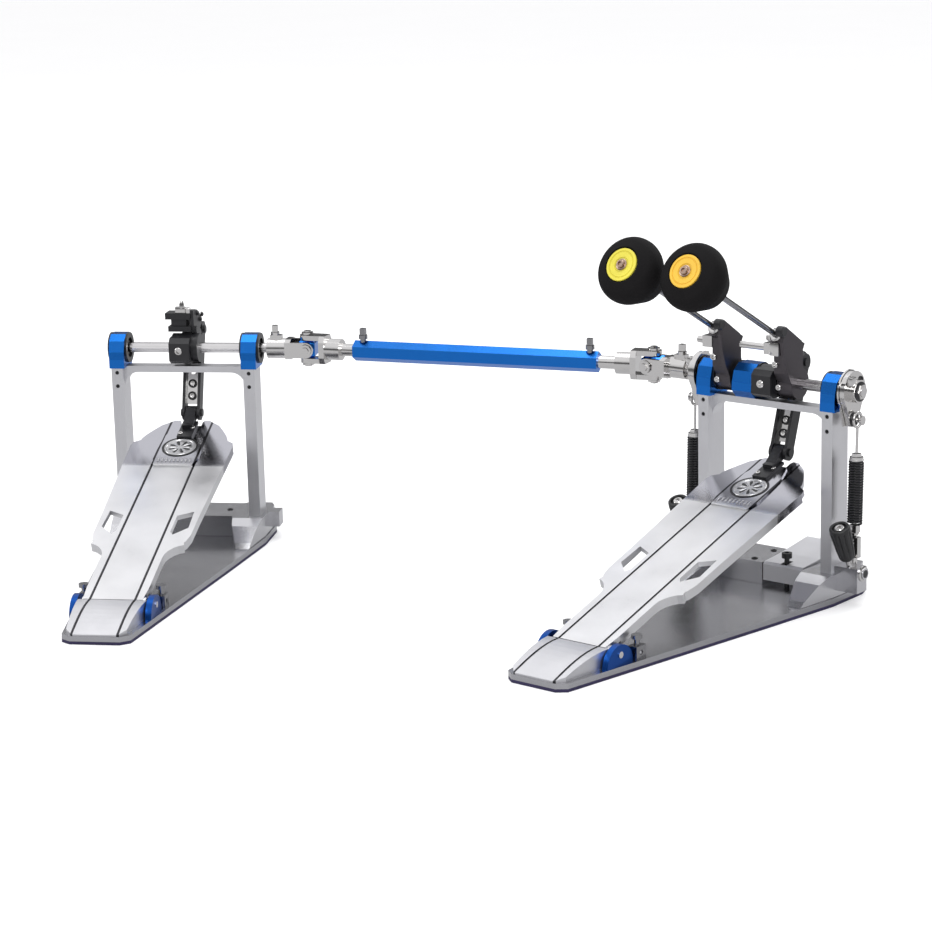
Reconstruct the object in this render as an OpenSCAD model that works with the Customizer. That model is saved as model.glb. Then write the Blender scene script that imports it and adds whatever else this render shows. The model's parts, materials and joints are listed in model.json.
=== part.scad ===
// Double bass drum pedal: a main pedal that carries both beaters, a slave pedal
// to its left, and a telescopic drive shaft with two universal joints between them.
// Origin: on the floor, below the middle of the main pedal's axle.
// +X runs along the main axle to the right, +Y towards the drum, +Z up.
// Each pedal is drawn in this same frame; on_slave() carries a part to the slave pedal.

/* [Stance] */
// Height of both axles above the floor
axle_h = 205; // [200:1:210]
// Distance from the main axle's middle to the slave axle's middle, to the left
slave_left = 603; // [600:1:640]
// The same distance towards the player
slave_back = 191; // [180:1:195]
// Yaw of the slave pedal, its drum side turned to the left
slave_yaw = 31; // [28:1:33]

/* [Frame] */
// Distance between the middles of a pedal's two columns
column_pitch = 140; // [140:1:144]
// Width of a column, seen from the player
column_w = 12; // [10:1:13]
// Depth of a column, front to back
column_depth = 30; // [28:1:32]
// Width of a bearing housing along the axle
housing_w = 16; // [14:1:17]

/* [Base] */
// Thickness of the rubber mat under a base plate
mat_h = 3; // [2:0.5:4]
// Thickness of the base plate
plate_h = 5; // [4:0.5:6]
// Height of the cast feet above the floor
foot_h = 30; // [28:1:32]
// Distance from the axle to the front edge of the heel
heel_reach = 380; // [378:1:388]

/* [Footboard] */
// Slope of the footboard at rest
board_slope = 17; // [16:0.5:18]
// Thickness of the footboard
board_h = 5; // [4:0.5:5]
// Widest part of the footboard
board_w = 109; // [104:1:112]

/* [Drive] */
// Diameter of the axles
axle_d = 10; // [9:0.5:10]
// Radius of the drive cam's arm
arm_r = 40; // [39:0.5:42]
// Angle of the drive cam's arm above the horizontal at rest
arm_angle = 18; // [16:0.5:20]

/* [Beaters] */
// Angle of the beater shafts above the horizontal at rest
beater_angle = 28.9; // [27:0.1:30]
// Distance from the axle's centre to the beater shaft's centre line
beater_offset = 31.2; // [31:0.1:34]
// Diameter of a beater shaft
beater_rod_d = 5.5; // [5:0.5:6]
// Largest diameter of a beater head
head_d = 64; // [60:1:66]
// Length of a beater head along its shaft
head_len = 46; // [44:1:48]

/* [Drive shaft] */
// Distance from the main axle's middle to the main universal joint
main_joint_x = 142; // [140:1:146]
// Distance from the slave axle's middle to the slave universal joint
slave_joint_x = 129.5; // [129:0.5:134]
// Distance between the tube's flats
tube_af = 18.6; // [18:0.2:20]
// Length of shaft left bare between the slave universal joint and the tube
tube_gap = 53; // [53:1:58]

/* [Hidden] */
$fn = 48;

SILVER = "#c9cbd0";
ALUMINIUM = "#dcdee2";
BLACK = "#26262a";
RUBBER = "#1d1a2c";
BLUE = "#1763c4";
NAVY = "#2b4a9c";
STEEL = "#b4b6ba";

run_gap = 0.05;              // radial clearance of a running fit
axle_r = axle_d / 2;
hex_r = axle_r + 0.6;        // corner radius of the axle's hexagonal stretch
base_top = mat_h + plate_h;
column_x = column_pitch / 2;
column_front = -19.5;
column_top = axle_h - 19;
bar_front = -12;
bar_back = 3;
bar_top = axle_h - 17.5;
bar_h = 6.5;

// Heel hinge and footboard, in the pedal's frame
hinge_y = -306.5;
hinge_z = 18;
board_y0 = hinge_y - 7.5;    // front edge of the footboard's top face
board_z0 = 24.5;
board_len = 341;
groove_x = 22;
pin_r = 3;

// Drive linkage: toe pivot on the footboard, arm pivot on the drive cam
toe_y = 10;
toe_z = 133.5;
arm_y = arm_r * cos(arm_angle);
arm_z = axle_h + arm_r * sin(arm_angle);
link_len = norm([arm_y - toe_y, arm_z - toe_z]);
link_tilt = atan2(arm_y - toe_y, arm_z - toe_z);
link_pin_r = 2.5;
arm_slack = 3.3;             // the open pivot's clearance in the cam's arm
web_lo = -5;                 // the cam's web and the clevis web, along the axle
web_hi = 6;
cheek_t = 3;

// Bearings
bearing_r = 13;
race_r = 7.6;                // outside of the inner race
seal_r = 10.4;               // inside of the outer race
cap_r = 15.8;
mid_housing_x = -26;
mid_housing_w = 22;

// Beaters
right_beater_x = 18;
left_beater_x = -52;
rod_reach = 217;             // from the foot of the perpendicular to the head's outer face
rod_r = beater_rod_d / 2;
disc_r = 15.8;
rod_tail = 2;                // from the foot of the perpendicular to the shaft's lower end

// Spring side
side_x = 92;                 // middle of each spring
rocker_pin_y = -1;
rocker_pin_z = axle_h - 27;
anchor_y = -5;
anchor_z = 62;
anchor_pin_r = 1.6;
wire_r = 1.3;
spring_len = norm([rocker_pin_y - anchor_y, rocker_pin_z - anchor_z]);
spring_tilt = atan2(rocker_pin_y - anchor_y, rocker_pin_z - anchor_z);
coil_lo = 17;                // along the spring from its anchor
coil_hi = 78;
coil_r = 7.5;
bracket_top = 38;
knob_y = -12;
knob_lean = 25;

// Drive shaft
main_joint = [-main_joint_x, 0];
slave_joint = [-slave_left + slave_joint_x * cos(slave_yaw), slave_joint_x * sin(slave_yaw) - slave_back];
shaft_vec = main_joint - slave_joint;
shaft_len = norm(shaft_vec);
shaft_yaw = atan2(shaft_vec[1], shaft_vec[0]);
yoke_arm_lo = 9.5;           // inner face of a yoke's arm
yoke_arm_hi = 14.5;
yoke_w = 8;                  // half width of an arm
yoke_root = 16;
yoke_bolt_r = 3.5;
yoke_slack = 0.5;            // the open pivots' clearance in the shaft yokes
shaft_rod_r = 6.5;
tube_end = shaft_len - tube_gap - 4;

// ---------------------------------------------------------------- placing

module on_slave() {
    translate([-slave_left, -slave_back, 0]) rotate([0, 0, slave_yaw]) children();
}

module on_both() {
    children();
    on_slave() children();
}

// A cylinder along X from x = a to x = b
module rod_x(a, b, r, fn = 48) {
    translate([a, 0, 0]) rotate([90, 0, 90]) cylinder(h = b - a, r = r, $fn = fn);
}

// A drawing in (y, z) made a solid from x = a to x = b
module slab_x(a, b) {
    translate([a, 0, 0]) rotate([90, 0, 90]) linear_extrude(b - a) children();
}

module box(lo, hi) {
    translate(lo) cube(hi - lo);
}

module mirror_pair() {
    children();
    mirror([1, 0, 0]) children();
}

// The footboard's own frame: x across, y up the slope, z off its top face
module on_board() {
    translate([0, board_y0, board_z0]) rotate([board_slope, 0, 0]) children();
}

// A beater's own frame: z runs up the beater shaft, origin level with the axle
module on_beater(x) {
    translate([x, 0, axle_h]) rotate([90 - beater_angle, 0, 0]) translate([0, beater_offset, 0]) children();
}

// A spring's own frame: z runs from its anchor up to the rocker's pin
module on_spring(side) {
    translate([side * side_x, anchor_y, anchor_z]) rotate([-spring_tilt, 0, 0]) children();
}

// A knob's own frame: z runs up the leaning stud from the bracket's top face
module on_knob(side) {
    translate([side * side_x, knob_y, bracket_top]) rotate([knob_lean, 0, 0]) children();
}

// The drive shaft's own frame: x runs from the slave joint to the main joint
module on_shaft() {
    translate([slave_joint[0], slave_joint[1], axle_h]) rotate([0, 0, shaft_yaw]) children();
}

// ---------------------------------------------------------------- base

// Right half of the base's outline, from the heel's front edge round to the back
base_half = [
    [24, -heel_reach], [33, 7 - heel_reach], [69, -122], [76, -70], [82, -25], [82, 28], [78, 39], [70, 44]
];

function mirrored(points) = [for (i = [len(points) - 1:-1:0]) [-points[i][0], points[i][1]]];

module base_outline() {
    polygon(concat(base_half, mirrored(base_half)));
}

module column_foot() {
    // block below the column
    translate([0, 0, base_top])
        linear_extrude(foot_h - base_top)
            polygon([[47, -26], [54, -29], [78, -29], [81, -20], [81, 26], [76, 38], [52, 38], [47, 33]]);
    // wing that runs down to the plate in front of the column
    intersection() {
        slab_x(46, 82)
            polygon([[-72, base_top], [-66, base_top + 5], [-44, foot_h - 5], [-29, foot_h],
                [-20, foot_h], [-20, base_top]]);
        translate([0, 0, base_top])
            linear_extrude(foot_h)
                polygon([[61, -72], [75, -72], [81, -20], [47, -20], [50, -40]]);
    }
}

module cross_beam() {
    box([-50, -22, base_top], [50, 33, foot_h]);
}

// Bracket outside a column, bored for a knob's stud, with a round boss on its outer face
module bracket() {
    difference() {
        union() {
            box([column_x + 6, -17, 14], [103, 0, bracket_top]);
            translate([0, -7, 32]) rod_x(100, 106, 5.5);
        }
        on_knob(1) translate([0, 0, -20]) cylinder(h = 30, r = 3 + run_gap);
    }
}

module base_body() {
    translate([0, 0, mat_h]) linear_extrude(plate_h) base_outline();
    mirror_pair() column_foot();
    cross_beam();
}

jaw_x = [1, 45];             // the hoop jaw, along the axle
jaw_pivot = [2, 20];         // its trunnions' y and z
trunnion_r = 4;
jaw_mid = (jaw_x[0] + jaw_x[1]) / 2;

module main_base() color(ALUMINIUM) {
    difference() {
        union() {
            base_body();
            mirror_pair() bracket();
            // tongue below the hoop jaw
            box([-8, 30, mat_h], [54, 62, base_top]);
        }
        // pocket for the jaw, and the bores for its trunnions
        box([jaw_x[0] - 1, -40, base_top], [jaw_x[1] + 1, 60, foot_h + 1]);
        translate([0, jaw_pivot[0], jaw_pivot[1]]) rod_x(jaw_x[0] - 9, jaw_x[1] + 9, trunnion_r + run_gap);
    }
}

module slave_base() color(ALUMINIUM) on_slave() {
    base_body();
    // lug of the carpet spur beside the right foot
    box([80, -2, 14], [92, 16, foot_h]);
}

module base_mat() {
    linear_extrude(mat_h) base_outline();
}

module base_mats() color(RUBBER) {
    base_mat();
    box([-8, 30, 0], [54, 62, mat_h]);
    on_slave() base_mat();
}

heel_front = 1 - heel_reach;
heel_back = board_y0 - 1.5;
heel_lip = 1.5;
heel_half = 33.6;            // half width at the back edge
heel_wall = 3.5;

// Height of the heel plate's crowned top at y
function crown(y) =
    let (low = base_top + heel_lip, along = (y - heel_front) / (heel_back - heel_front))
    low + (board_z0 - low) * sin(90 * along);

// The crowned top as (y, z) points, lowered by drop, from y = front to the plate's back edge
function crown_line(front, drop) =
    [for (i = [0:8]) let (y = front + (heel_back - front) * i / 8) [y, crown(y) - drop]];

module heel_outline(inset) {
    half = [[22 - inset, heel_front + inset], [29 - inset, heel_front + 8],
        [heel_half - inset, heel_back + 1]];
    polygon(concat(half, mirrored(half)));
}

module heel_plate() {
    difference() {
        intersection() {
            slab_x(-40, 40)
                polygon(concat(crown_line(heel_front, 0), [[heel_back, base_top], [heel_front, base_top]]));
            linear_extrude(40) heel_outline(0);
        }
        // hollow underside
        intersection() {
            slab_x(-40, 40) polygon(concat(crown_line(heel_front + 20, heel_wall),
                [[heel_back, base_top - 1], [heel_front + 20, base_top - 1]]));
            linear_extrude(40) heel_outline(heel_wall);
        }
        // grooves that carry on from the footboard
        for (x = [-groove_x, groove_x])
            slab_x(x - 1.2, x + 1.2)
                polygon(concat(crown_line(heel_front + 8, 1.2), [[heel_back, 40], [heel_front + 8, 40]]));
    }
}

module heel_plates() color(SILVER) on_both() heel_plate();

// ---------------------------------------------------------------- frame

screw_heights = [axle_h - 23.4, axle_h - 37.6];
arch_r = 15;                 // fillets below the crossbar's ends

module column() {
    chamfer = 2.5;
    lo = column_x - column_w / 2;
    hi = column_x + column_w / 2;
    back = column_front + column_depth;
    difference() {
        translate([0, 0, foot_h])
            linear_extrude(column_top - foot_h)
                polygon([[lo, column_front], [hi, column_front], [hi, back - chamfer], [hi - chamfer, back],
                    [lo + chamfer, back], [lo, back - chamfer]]);
        for (z = screw_heights)
            translate([column_x, column_front - 1, z]) rotate([-90, 0, 0]) cylinder(h = 9, r = 2 + run_gap);
    }
}

module crossbar() {
    inner = column_x - column_w / 2;
    strip = column_x - housing_w / 2;
    translate([0, bar_back, 0]) rotate([90, 0, 0]) linear_extrude(bar_back - bar_front) {
        translate([-inner, bar_top - bar_h]) square([2 * inner, bar_h - (bar_top - column_top)]);
        // strip between the housings' feet
        translate([0.1 - strip, bar_top - bar_h]) square([2 * strip - 0.2, bar_h]);
        for (side = [-1, 1])
            difference() {
                translate([side * (inner - arch_r / 2) - arch_r / 2, bar_top - bar_h - arch_r])
                    square([arch_r, arch_r]);
                translate([side * (inner - arch_r), bar_top - bar_h - arch_r]) circle(r = arch_r);
            }
    }
}

module pedal_frame() {
    mirror_pair() column();
    crossbar();
}

module main_frame() color(ALUMINIUM) pedal_frame();
module slave_frame() color(ALUMINIUM) on_slave() pedal_frame();

module frame_screws() color(BLACK) on_both()
    for (x = [-column_x, column_x], z = screw_heights)
        translate([x, column_front + 0.6, z]) rotate([-90, 0, 0]) difference() {
            cylinder(h = 7, r = 2);
            translate([0, 0, -1]) cylinder(h = 2.4, r = 1.1, $fn = 6);
        }

// Side outline of a bearing housing, as (y, z) about the axle; its foot is narrower
module housing_side(foot_front, foot_back, foot) {
    polygon([[foot_front, foot], [-19.5, -10], [-19, -2], [-15.5, 9], [-7, 15.2], [7, 15.2], [14, 11],
        [17.5, 1], [17.5, -7], [foot_back, foot]]);
}

module housing(x, w, foot_front, foot_back, foot) {
    translate([x, 0, axle_h]) difference() {
        slab_x(-w / 2, w / 2) housing_side(foot_front, foot_back, foot);
        rod_x(-w, w, bearing_r + 0.02);
    }
}

module bearing_housings() color(BLUE) {
    on_both() for (side = [-1, 1])
        housing(side * column_x, housing_w, column_front, column_front + column_depth, column_top - axle_h);
    housing(mid_housing_x, mid_housing_w, bar_front, bar_back + 4, bar_top - axle_h);
}

// A bearing as wide as its housing, with a cap ring outside each face
module bearing(x, w, cap_t) {
    translate([x, 0, axle_h]) difference() {
        union() {
            rod_x(-w / 2 - cap_t / 2, w / 2 + cap_t / 2, bearing_r);
            for (side = [0, 1]) mirror([side, 0, 0]) rod_x(w / 2, w / 2 + cap_t, cap_r);
        }
        rod_x(-w, w, axle_r + run_gap);
        // sunk ring between the races, and the wide mouth of each cap
        for (side = [0, 1])
            mirror([side, 0, 0]) {
                rod_x(w / 2, w, race_r);
                difference() {
                    rod_x(w / 2 - 1.5, w, seal_r);
                    rod_x(0, w, race_r);
                }
            }
    }
}

module bearings() color(BLACK) {
    on_both() for (side = [-1, 1]) bearing(side * column_x, housing_w, 2);
    bearing(mid_housing_x, mid_housing_w, 1.2);
}

// ---------------------------------------------------------------- heel hinge

block_x = [34, 40];
block_r = 19;

module hinge_block() {
    difference() {
        translate([0, hinge_y, base_top]) intersection() {
            rod_x(block_x[0], block_x[1], block_r, 64);
            box([30, -block_r, 0], [44, block_r, block_r]);
        }
        translate([0, hinge_y, hinge_z]) rod_x(30, 44, pin_r + run_gap);
    }
}

module hinge_blocks() color(NAVY) on_both() mirror_pair() hinge_block();

module hinge_pins() color(STEEL) on_both() {
    translate([0, hinge_y, hinge_z]) rod_x(-block_x[1] - 1, block_x[1] + 1, pin_r);
}

// Lock of the hinge behind a block: a cheek with a socket screw and a thumb screw
module hinge_lock() {
    mid = hinge_y + block_r + 8;
    difference() {
        box([33, mid - 7, base_top], [43, mid + 7, 20]);
        translate([0, mid, 14]) rod_x(41, 44, 2.5, 6);
    }
    translate([38, mid, 20]) cylinder(h = 6, r = 2.5);
    translate([38, mid, 26]) cylinder(h = 3.5, r = 5);
}

module hinge_locks() color(STEEL) on_both() mirror_pair() hinge_lock();

// ---------------------------------------------------------------- footboard

neck = 30.5;
wide = board_w / 2;
shoulder_r = 22;

// Right half of the footboard's outline from the hinge to the toe's notch
board_half = concat(
    [[29, 0], [neck, 20], [neck, 74]],
    // rounded shoulder between the neck and the wing
    [for (a = [15:15:75]) [neck + shoulder_r * (1 - cos(a)), 74 + shoulder_r * 1.1 * sin(a)]],
    [[neck + 15, 102], [47, 104], [49.5, 116], [50, 150], [wide, 288], [wide - 1.5, 295], [46, 300]],
    // hollow between the widest corner and the ear
    [for (a = [80:-20:20]) [46 - 23 * (1 - sin(a)), 325 - 24 * cos(90 - a) + 0.2 * (90 - a)]],
    [[22, board_len - 3], [19, board_len], [13, board_len], [11.5, board_len - 3], [11.5, 330]]
);

module board_outline() {
    polygon(concat(board_half, mirrored(board_half)));
}

module wing_slot() {
    polygon([[27.5, 151], [43, 159], [44, 129], [31, 116], [27.5, 121]]);
}

module footboard() {
    on_board() difference() {
        union() {
            translate([0, 0, -board_h]) linear_extrude(board_h) board_outline();
            // stiffening rim below the sides
            translate([0, 0, -board_h - 4]) linear_extrude(5) difference() {
                intersection() {
                    board_outline();
                    translate([-60, 20]) square([120, 268]);
                }
                intersection() {
                    scale([0.93, 1]) board_outline();
                    translate([-60, 14]) square([120, 280]);
                }
            }
            // raised tongue at the toe
            linear_extrude(1.6) polygon([[-20, 246], [20, 246], [24, 262], [22, 303], [15, 326],
                [-15, 326], [-22, 303], [-24, 262]]);
        }
        mirror_pair() translate([0, 0, -board_h - 1]) linear_extrude(board_h + 2) wing_slot();
        mirror_pair() box([groove_x - 1.2, -1, -1.2], [groove_x + 1.2, 252, 4]);
        // seat of the round badge
        translate([0, 283, 0.8]) cylinder(h = 5, r = 17, $fn = 64);
    }
    knuckle();
}

module knuckle() {
    translate([0, hinge_y, hinge_z]) difference() {
        union() {
            rod_x(-31, 31, 6.5);
            slab_x(-29, 29) polygon([[-5.5, 3], [5, 3], [12, 6.2], [12, 7], [-5.5, 2.5]]);
        }
        rod_x(-35, 35, pin_r + run_gap);
    }
}

module main_footboard() color(SILVER) footboard();
module slave_footboard() color(SILVER) on_slave() footboard();

// Clevis on the toe: a sole screwed to the board and a web up to the link's lower pivot
module toe_clevis() {
    mid = (web_lo + web_hi) / 2;
    difference() {
        union() {
            on_board() translate([mid - 8, 300, 1.6]) cube([16, 32, 3]);
            slab_x(web_lo, web_hi) {
                translate([toe_y, toe_z]) circle(r = 7);
                polygon([[-14.5, 125.2], [-9, 126.5], [toe_y - 5, toe_z + 5], [toe_y + 6, toe_z - 3],
                    [6.5, 127.5], [-2, 124.2], [-13, 120.9]]);
            }
        }
        translate([0, toe_y, toe_z]) rod_x(-20, 20, link_pin_r + run_gap);
    }
}

module main_toe_clevis() color(BLACK) toe_clevis();
module slave_toe_clevis() color(BLACK) on_slave() toe_clevis();

// ---------------------------------------------------------------- drive link

module on_link() {
    translate([0, toe_y, toe_z]) rotate([-link_tilt, 0, 0]) children();
}

face_y = -1.5;               // front of the link's face, set back between its cheeks

module link_body() {
    on_link() difference() {
        box([web_lo - 1, face_y, 9.5], [web_hi + 1, 7, link_len - 20]);
        // three lightening holes through the face and a slot behind them
        for (i = [0:2]) translate([(web_lo + web_hi) / 2, 0, 17.5 + 13 * i])
            rotate([90, 0, 0]) cylinder(h = 40, r = 3.2, center = true);
        box([web_lo + 1.5, face_y + 3, 13.5], [web_hi - 1.5, 8, link_len - 24]);
    }
}

module link_cheek(x) {
    on_link() difference() {
        slab_x(x, x + cheek_t) {
            circle(r = 8);
            translate([0, link_len]) circle(r = 8.5);
            polygon([[-6.5, 0], [6.5, 0], [7, link_len], [-7, link_len]]);
        }
        for (z = [0, link_len]) translate([0, 0, z]) rod_x(-20, 20, link_pin_r + 0.02);
    }
}

module link_sides() {
    link_cheek(web_lo - 1 - cheek_t);
    link_cheek(web_hi + 1);
}

module link_pins() {
    on_link() for (z = [0, link_len]) translate([0, 0, z]) {
        rod_x(web_lo - 6, web_hi + 6, link_pin_r);
        rod_x(web_lo - 6, web_lo - 1 - cheek_t, 4);
        rod_x(web_hi + 1 + cheek_t, web_hi + 6, 4);
    }
}

module main_link() color(STEEL) link_body();
module main_link_sides() color(BLACK) link_sides();
module main_link_pins() color(STEEL) link_pins();
module slave_link() color(STEEL) on_slave() link_body();
module slave_link_sides() color(BLACK) on_slave() link_sides();
module slave_link_pins() color(STEEL) on_slave() link_pins();

// ---------------------------------------------------------------- axles

module axle(a, b, hex_a, hex_b) {
    translate([0, 0, axle_h]) {
        rod_x(a, b, axle_r);
        rod_x(hex_a, hex_b, hex_r, 6);
    }
}

hex_end = column_x - housing_w / 2 - 1.5;
rocker_out = 97;
stub_in = mid_housing_x - 1;

module main_axle() color(STEEL) axle(mid_housing_x + 1, rocker_out + 1, -13.5, hex_end);
module stub_axle() color(STEEL)
    axle(-main_joint_x + 22, stub_in, -hex_end, mid_housing_x - mid_housing_w / 2 - 1.5);
module slave_axle() color(STEEL) on_slave()
    axle(-column_x - 11, slave_joint_x - 22, -hex_end, hex_end);

module hex_bore(a, b) {
    rod_x(a, b, hex_r + run_gap, 6);
    rod_x(a, b, axle_r + run_gap);
}

cam_x = [-13, 10];
cam_hub_r = 15;

module drive_cam() {
    translate([0, 0, axle_h]) difference() {
        union() {
            rod_x(cam_x[0], cam_x[1], cam_hub_r);
            slab_x(cam_x[0], cam_x[1] - 1.5)
                polygon([[-22, -10], [-22, 8], [-17, 13], [0, 14], [0, -14], [-15, -14]]);
            slab_x(web_lo, web_hi) {
                translate([arm_y, arm_z - axle_h]) circle(r = 10.5);
                rotate(arm_angle) polygon([[0, -10], [arm_r, -9.5], [arm_r, 9.5], [0, 13.5]]);
            }
        }
        hex_bore(cam_x[0] - 1, cam_x[1] + 1);
        translate([0, arm_y, arm_z - axle_h]) rod_x(-20, 20, link_pin_r + arm_slack);
        // set screw seat in the front face
        translate([-3, -23, 0]) rotate([-90, 0, 0]) cylinder(h = 8, r = 4);
    }
}

module main_drive_cam() color(BLACK) drive_cam();
module slave_drive_cam() color(BLACK) on_slave() drive_cam();

// ---------------------------------------------------------------- beaters

plate_t = 4;
clamp_half = 7;
clamp_lo = 6;                // the clamp's ends along the beater shaft
clamp_hi = 46;
screw_y = -16.5;             // the clamp screw, from the axle's centre
screw_z = 35;
screw_r = 3;

// A holder keyed to the axle: hub, side plate and a clamp bored for the beater shaft
module beater_holder(x) {
    difference() {
        union() {
            translate([0, 0, axle_h]) {
                rod_x(x - 6.5, x + 6 + plate_t, cam_hub_r);
                slab_x(x + 6, x + 6 + plate_t)
                    polygon([[-24.5, 58.5], [-27.5, 56.5], [-30, 44], [-27, 28], [-22, 14], [-11.5, -5],
                        [11, -8], [13, 5], [6, 12], [4.5, 18], [4.5, 38], [2.5, 41]]);
                slab_x(x - 6, x + 6.5) polygon([[-21, 44], [-21, 12], [-10, -5], [11, -5], [4, 27]]);
            }
            on_beater(x) box([-5.5, -clamp_half, clamp_lo], [6.4, clamp_half, clamp_hi]);
        }
        translate([0, 0, axle_h]) hex_bore(x - 10, x + 20);
        on_beater(x) translate([0, 0, -30]) cylinder(h = 90, r = rod_r + run_gap);
        translate([0, screw_y, axle_h + screw_z]) rod_x(x - 10, x + 3, screw_r + run_gap);
    }
}

// Clamp screw with a square block and a handle bar
module holder_screw(x, bar) {
    translate([0, screw_y, axle_h + screw_z]) {
        rod_x(x - 8, x + 2.5, screw_r);
        box([x - 17, -5.5, -5.5], [x - 6.1, 5.5, 5.5]);
        rod_x(x - 17 - bar, x - 17, screw_r + 0.2);
    }
}

module beater_rod(x) {
    on_beater(x) translate([0, 0, -rod_tail]) cylinder(h = rod_reach + rod_tail - 6, r = rod_r);
}

// Half outline of the barrel-shaped head from its shaft side to its outer face
module head_profile() {
    r = head_d / 2;
    difference() {
        polygon([[0, 0], [r * 0.60, 0], [r * 0.65, 1.5], [r * 0.96, 22], [r, 28], [r * 0.98, 34],
            [r * 0.88, 40], [r * 0.70, head_len - 1.5], [r * 0.55, head_len], [0, head_len]]);
        square([rod_r + run_gap, head_len - 1]);
        translate([0, head_len - 2]) square([disc_r + 0.3, 3]);
    }
}

module beater_head(x) {
    on_beater(x) translate([0, 0, rod_reach - head_len]) rotate_extrude($fn = 64) head_profile();
}

module beater_disc(x) {
    on_beater(x) translate([0, 0, rod_reach - 2]) {
        difference() {
            cylinder(h = 2, r = disc_r, $fn = 64);
            translate([0, 0, 1.2]) difference() {
                cylinder(h = 2, r = disc_r - 2.5, $fn = 64);
                translate([0, 0, -1]) cylinder(h = 4, r = 6);
            }
        }
        translate([0, 0, 2]) cylinder(h = 3, r = 4);
    }
}

module right_beater_holder() color(BLACK) beater_holder(right_beater_x);
module right_holder_screw() color(STEEL) holder_screw(right_beater_x, 29);
module right_beater_shaft() color(STEEL) beater_rod(right_beater_x);
module right_beater_head() color(BLACK) beater_head(right_beater_x);
module right_beater_disc() color("#e8b24a") beater_disc(right_beater_x);
module left_beater_holder() color(BLACK) beater_holder(left_beater_x);
module left_holder_screw() color(STEEL) holder_screw(left_beater_x, 8);
module left_beater_shaft() color(STEEL) beater_rod(left_beater_x);
module left_beater_head() color(BLACK) beater_head(left_beater_x);
module left_beater_disc() color("#e9dc50") beater_disc(left_beater_x);

spare_x = -5.5;              // the spare bore, along the slave axle and behind it
spare_y = 5;
sector_r = 40;
sector_lo = web_hi + 0.1;     // the sector plate stands beside the clamp and the cam's arm

// Holder for a spare beater: keyed hub, sector plate, and a stepped clamp above the drive cam
module spare_holder() {
    hub_lo = cam_x[1] + 0.1;
    over_cam = cam_hub_r + 1.5;
    translate([0, 0, axle_h]) difference() {
        union() {
            rod_x(hub_lo, hub_lo + 5, cam_hub_r);
            slab_x(hub_lo, hub_lo + 2.5) sector(0, over_cam + 6);
            slab_x(sector_lo, hub_lo + 2.5) sector(over_cam, over_cam + 6);
            slab_x(sector_lo, sector_lo + plate_t) sector(over_cam, sector_r);
            box([-17, -5, 17.5], [sector_lo + 1, 12, 23]);
            box([-14, -3, 22.5], [2, 12, 31]);
            box([-19.5, -6, 30.5], [sector_lo + 1, 12, 37]);
        }
        hex_bore(hub_lo - 1, hub_lo + 6);
        translate([spare_x, spare_y, 0]) cylinder(h = 60, r = rod_r + run_gap);
    }
}

// Part of a ring about the axle, from clear of the link to just past its top
module sector(inner_r, outer_r) {
    polygon(concat([for (a = [36:12:96]) outer_r * [cos(a), sin(a)]],
        [for (a = [96:-12:36]) inner_r * [cos(a), sin(a)]]));
}

module slave_holder() color(BLACK) on_slave() spare_holder();

// ---------------------------------------------------------------- springs and knobs

// Rocker on an axle's outer end: a disc with a lobe, a clamp collar and the spring's pin
module rocker() {
    translate([0, 0, axle_h]) difference() {
        union() {
            slab_x(83, 88) {
                circle(r = 19);
                translate([rocker_pin_y, rocker_pin_z - axle_h]) circle(r = 7.5);
                polygon([[-17, -6], [rocker_pin_y - 7, rocker_pin_z - axle_h - 2],
                    [rocker_pin_y + 7, rocker_pin_z - axle_h - 2], [15, -10]]);
            }
            rod_x(88, 94, 11);
            rod_x(94, rocker_out, 7.5, 6);
            translate([0, rocker_pin_y, rocker_pin_z - axle_h]) {
                rod_x(80, 96, link_pin_r);
                rod_x(96, 98, 4.5);
            }
        }
        rod_x(70, 110, axle_r + 0.02);
    }
}

module right_rocker() color(STEEL) rocker();
module left_rocker() color(STEEL) mirror([1, 0, 0]) rocker();

module eye(inner) {
    rotate([90, 0, 90]) rotate_extrude($fn = 48)
        translate([inner + wire_r, 0]) circle(r = wire_r, $fn = 24);
}

// The coil is a sleeve here, with the wire and eye that hang it on its anchor
module tension_spring(side) {
    on_spring(side) {
        difference() {
            translate([0, 0, coil_lo]) cylinder(h = coil_hi - coil_lo, r = coil_r);
            translate([0, 0, coil_lo + 2]) cylinder(h = coil_hi, r = coil_r - 2.4);
        }
        eye(2.8);
        translate([0, 0, 4.1]) cylinder(h = coil_lo - 3, r = wire_r);
    }
}

eye_r = link_pin_r + 3.2;     // the open pivot's clearance in the hook

module spring_hook(side) {
    on_spring(side) {
        translate([0, 0, spring_len]) eye(eye_r);
        translate([0, 0, coil_hi + 1]) cylinder(h = spring_len - coil_hi - 1 - eye_r - wire_r, r = wire_r);
        translate([0, 0, coil_hi + 0.5]) cylinder(h = 2.5, r = coil_r - 1);
    }
}

module right_spring() color(BLACK) tension_spring(1);
module left_spring() color(BLACK) tension_spring(-1);
module right_spring_hook() color(STEEL) spring_hook(1);
module left_spring_hook() color(STEEL) spring_hook(-1);

// Post on the bracket that carries the pin of the spring's lower eye
module spring_anchor(side) {
    translate([side * side_x, anchor_y, 0]) {
        difference() {
            box([-5.5, -3.2, bracket_top + 8], [5.5, 3.2, anchor_z + 4]);
            box([-1.8, -8, anchor_z - 8], [1.8, 8, anchor_z + 8]);
        }
        translate([0, 0, bracket_top]) cylinder(h = 9, r = 3);
        translate([0, 0, anchor_z]) rod_x(-5, 5, anchor_pin_r);
    }
}

module spring_anchors() color(STEEL) {
    spring_anchor(1);
    spring_anchor(-1);
}

knob_lo = 10;
knob_hi = 48;

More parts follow.
